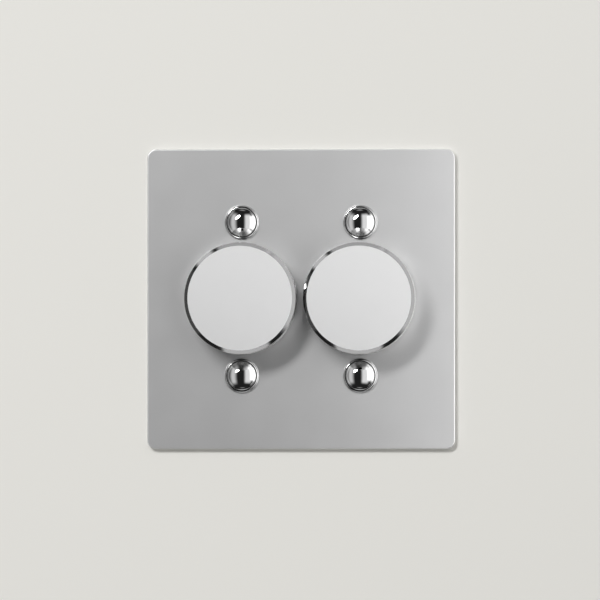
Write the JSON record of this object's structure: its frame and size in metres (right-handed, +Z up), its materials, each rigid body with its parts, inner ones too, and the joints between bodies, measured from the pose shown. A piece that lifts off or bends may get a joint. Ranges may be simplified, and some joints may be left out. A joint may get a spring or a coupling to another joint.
{
  "type": "rotary dimmer switch",
  "caption": "Square satin metal plate with round rotary push knobs and polished dome screws, on a wall-box yoke that carries enclosed dimmer modules.",
  "frame": {"origin": "middle of the line through the two wall box screws, on the wall plane, at the centre of the plate", "axes": "+X to the right, +Y into the wall, +Z up; the plate and knobs face -Y"},
  "size_m": [0.0882, 0.0422, 0.086],
  "materials": {
    "satin_steel": "satin, fine bead-blasted stainless steel",
    "polished_steel": "mirror polished",
    "plated_steel": "zinc plated",
    "aluminium": "mill finish",
    "brass": "turned",
    "copper": "enamelled winding wire",
    "black_plastic": "moulded, fine spark texture",
    "cream_plastic": "moulded, smooth",
    "yellow_plastic": "moulded, gloss",
    "board": "glass laminate with solder mask",
    "ferrite": "pressed and sintered, dull"
  },
  "bodies": {
    "base": {"front_plate": "satin_steel", "yoke": "plated_steel", "threaded_bushes": "plated_steel", "dome_collars": "polished_steel", "dome_screws": "polished_steel", "earth_terminal": "brass", "earth_screw": "plated_steel", "left_neck_bush": "plated_steel", "left_lock_washer": "plated_steel", "left_neck_nut": "plated_steel", "left_heat_sink": "aluminium", "left_cover_screws": "plated_steel", "left_housing": "black_plastic", "left_pot_body": "black_plastic", "left_resistance_track": "board", "left_switch_body": "cream_plastic", "left_plunger_spring": "plated_steel", "left_circuit_board": "board", "left_choke_core": "ferrite", "left_choke_winding": "copper", "left_transistors": "black_plastic", "left_film_capacitor": "yellow_plastic", "left_smoothing_capacitor": "aluminium", "left_terminal_clamps": "brass", "left_terminal_screws": "plated_steel", "right_neck_bush": "plated_steel", "right_lock_washer": "plated_steel", "right_neck_nut": "plated_steel", "right_heat_sink": "aluminium", "right_cover_screws": "plated_steel", "right_housing": "black_plastic", "right_pot_body": "black_plastic", "right_resistance_track": "board", "right_switch_body": "cream_plastic", "right_plunger_spring": "plated_steel", "right_circuit_board": "board", "right_choke_core": "ferrite", "right_choke_winding": "copper", "right_transistors": "black_plastic", "right_film_capacitor": "yellow_plastic", "right_smoothing_capacitor": "aluminium", "right_terminal_clamps": "brass", "right_terminal_screws": "plated_steel"},
    "left_rotor": {"left_rotor": "cream_plastic", "left_wiper": "brass"},
    "left_knob": {"left_knob": "satin_steel", "left_knob_insert": "black_plastic", "left_grub_screw": "plated_steel", "left_shaft": "aluminium"},
    "left_plunger": {"left_plunger": "cream_plastic"},
    "right_rotor": {"right_rotor": "cream_plastic", "right_wiper": "brass"},
    "right_knob": {"right_knob": "satin_steel", "right_knob_insert": "black_plastic", "right_grub_screw": "plated_steel", "right_shaft": "aluminium"},
    "right_plunger": {"right_plunger": "cream_plastic"}
  },
  "joints": [
    {"name": "left_turn", "type": "hinge", "parent": "base", "child": "left_rotor", "pos_m": [-0.017, 0, 0], "axis": [0, 1, 0], "range_deg": [-135, 135]},
    {"name": "left_press", "type": "slide", "parent": "left_rotor", "child": "left_knob", "axis": [0, 1, 0], "range_m": [0, 0.0015], "stiffness_N_per_m": 2000, "springref_m": -0.001},
    {"name": "left_plunger_slide", "type": "slide", "parent": "base", "child": "left_plunger", "axis": [0, 1, 0], "range_m": [0, 0.0015], "deforming": ["left_plunger_spring"]},
    {"name": "right_turn", "type": "hinge", "parent": "base", "child": "right_rotor", "pos_m": [0.017, 0, 0], "axis": [0, 1, 0], "range_deg": [-135, 135]},
    {"name": "right_press", "type": "slide", "parent": "right_rotor", "child": "right_knob", "axis": [0, 1, 0], "range_m": [0, 0.0015], "stiffness_N_per_m": 2000, "springref_m": -0.001},
    {"name": "right_plunger_slide", "type": "slide", "parent": "base", "child": "right_plunger", "axis": [0, 1, 0], "range_m": [0, 0.0015], "deforming": ["right_plunger_spring"]}
  ],
  "couplings": [
    {"joint": "left_plunger_slide", "follows": "left_press", "ratio": 1},
    {"joint": "right_plunger_slide", "follows": "right_press", "ratio": 1}
  ]
}
